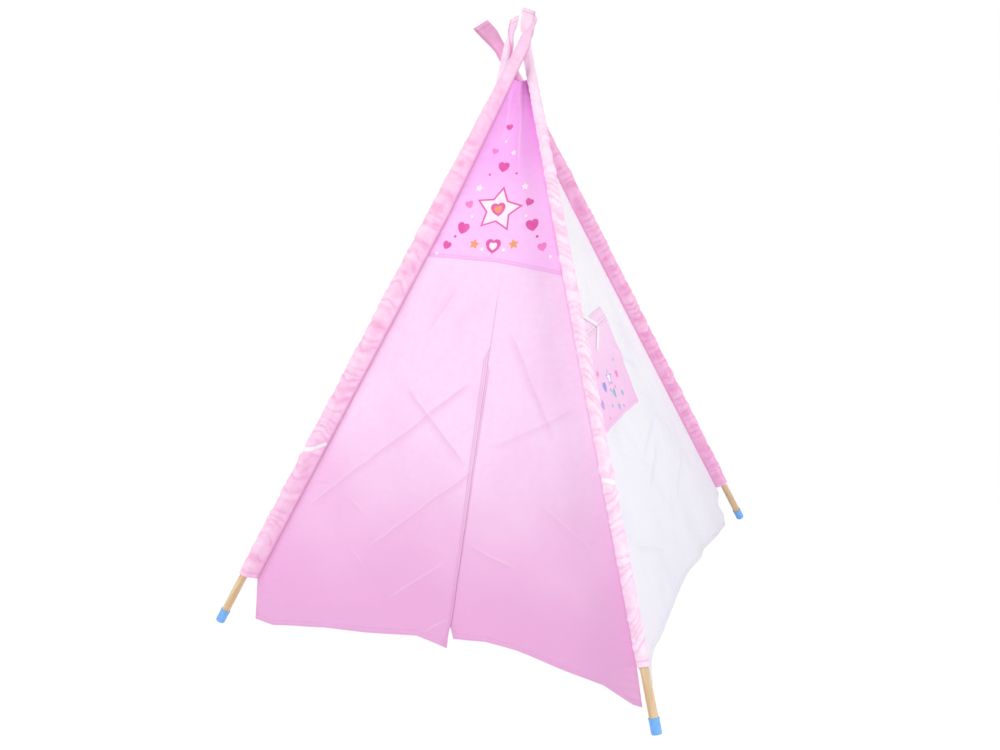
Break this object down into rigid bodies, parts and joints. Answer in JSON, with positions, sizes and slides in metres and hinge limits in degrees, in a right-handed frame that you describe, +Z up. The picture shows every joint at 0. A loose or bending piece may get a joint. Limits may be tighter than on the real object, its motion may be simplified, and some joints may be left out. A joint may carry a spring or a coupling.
{
  "type": "kids teepee",
  "caption": "Folding children's play teepee of cloth walls on wooden poles, with a two-flap front door and a covered side window.",
  "frame": {"origin": "on the floor at the middle of the square that the pole feet make", "axes": "+Z up, the door faces -Y, the covered window is in the wall on the +X side"},
  "size_m": [1.2179, 1.218, 1.583],
  "materials": {
    "wood": "sanded, unvarnished",
    "blue_rubber": "smooth matte",
    "grey_plastic": "moulded",
    "sleeve_pink_cloth": "woven cotton, gathered",
    "upper_pink_cloth": "printed woven cotton",
    "door_pink_cloth": "woven cotton",
    "white_cloth": "woven cotton",
    "white_ribbon": "satin ribbon"
  },
  "bodies": {
    "cover": {"front_upper_panel": "upper_pink_cloth", "door_left_panel": "door_pink_cloth", "door_right_panel": "door_pink_cloth", "left_wall": "white_cloth", "back_wall": "door_pink_cloth", "right_wall": "white_cloth", "window_header": "door_pink_cloth"},
    "pole_front_left": {"foot_cap_front_left": "blue_rubber", "pole_lower_front_left": "wood", "pole_middle_front_left": "wood", "pole_upper_front_left": "wood", "connector_lower_front_left": "grey_plastic", "connector_upper_front_left": "grey_plastic", "sleeve_front_left": "sleeve_pink_cloth", "door_tie_front_left": "white_ribbon"},
    "pole_front_right": {"foot_cap_front_right": "blue_rubber", "pole_lower_front_right": "wood", "pole_middle_front_right": "wood", "pole_upper_front_right": "wood", "connector_lower_front_right": "grey_plastic", "connector_upper_front_right": "grey_plastic", "sleeve_front_right": "sleeve_pink_cloth", "door_tie_front_right": "white_ribbon"},
    "pole_back_right": {"foot_cap_back_right": "blue_rubber", "pole_lower_back_right": "wood", "pole_middle_back_right": "wood", "pole_upper_back_right": "wood", "connector_lower_back_right": "grey_plastic", "connector_upper_back_right": "grey_plastic", "sleeve_back_right": "sleeve_pink_cloth"},
    "pole_back_left": {"foot_cap_back_left": "blue_rubber", "pole_lower_back_left": "wood", "pole_middle_back_left": "wood", "pole_upper_back_left": "wood", "connector_lower_back_left": "grey_plastic", "connector_upper_back_left": "grey_plastic", "sleeve_back_left": "sleeve_pink_cloth"},
    "door_left_flap": {"door_left_flap": "door_pink_cloth"},
    "door_right_flap": {"door_right_flap": "door_pink_cloth"},
    "window_cover": {"window_cover": "door_pink_cloth", "window_tie": "white_ribbon"}
  },
  "joints": [
    {"name": "fold_front_left", "type": "hinge", "parent": "cover", "child": "pole_front_left", "pos_m": [0.03009, -0.03346, 1.462], "axis": [0.6686, -0.7436, 0], "range_deg": [0, 24], "deforming": ["front_upper_panel", "door_left_panel", "door_right_panel", "left_wall", "back_wall", "right_wall", "window_header", "door_left_flap", "door_right_flap", "window_cover", "window_tie"]},
    {"name": "fold_front_right", "type": "hinge", "parent": "cover", "child": "pole_front_right", "pos_m": [0.03346, 0.03009, 1.462], "axis": [0.7436, 0.6686, 0], "range_deg": [0, 24]},
    {"name": "fold_back_right", "type": "hinge", "parent": "cover", "child": "pole_back_right", "pos_m": [-0.03009, 0.03346, 1.462], "axis": [-0.6686, 0.7436, 0], "range_deg": [0, 24]},
    {"name": "fold_back_left", "type": "hinge", "parent": "cover", "child": "pole_back_left", "pos_m": [-0.0086, -0.00836, 1.462], "axis": [-0.717, -0.697, 0], "range_deg": [0, 24]},
    {"name": "door_left_fold", "type": "hinge", "parent": "pole_front_left", "child": "door_left_flap", "pos_m": [0.04803, -0.17738, 0.95201], "axis": [-0.4483, -0.3426, -0.8256], "range_deg": [0, 150]},
    {"name": "door_right_fold", "type": "hinge", "parent": "pole_front_right", "child": "door_right_flap", "pos_m": [0.04803, -0.17738, 0.95201], "axis": [-0.4094, 0.3464, 0.844], "range_deg": [0, 150]},
    {"name": "window_cover_lift", "type": "hinge", "parent": "pole_front_right", "child": "window_cover", "pos_m": [0.27326, -0.22194, 0.77423], "axis": [0.0728, -0.9973, 0], "range_deg": [0, 150]}
  ],
  "couplings": [
    {"joint": "fold_front_right", "follows": "fold_front_left", "ratio": 1},
    {"joint": "fold_back_right", "follows": "fold_front_left", "ratio": 1},
    {"joint": "fold_back_left", "follows": "fold_front_left", "ratio": 1}
  ]
}
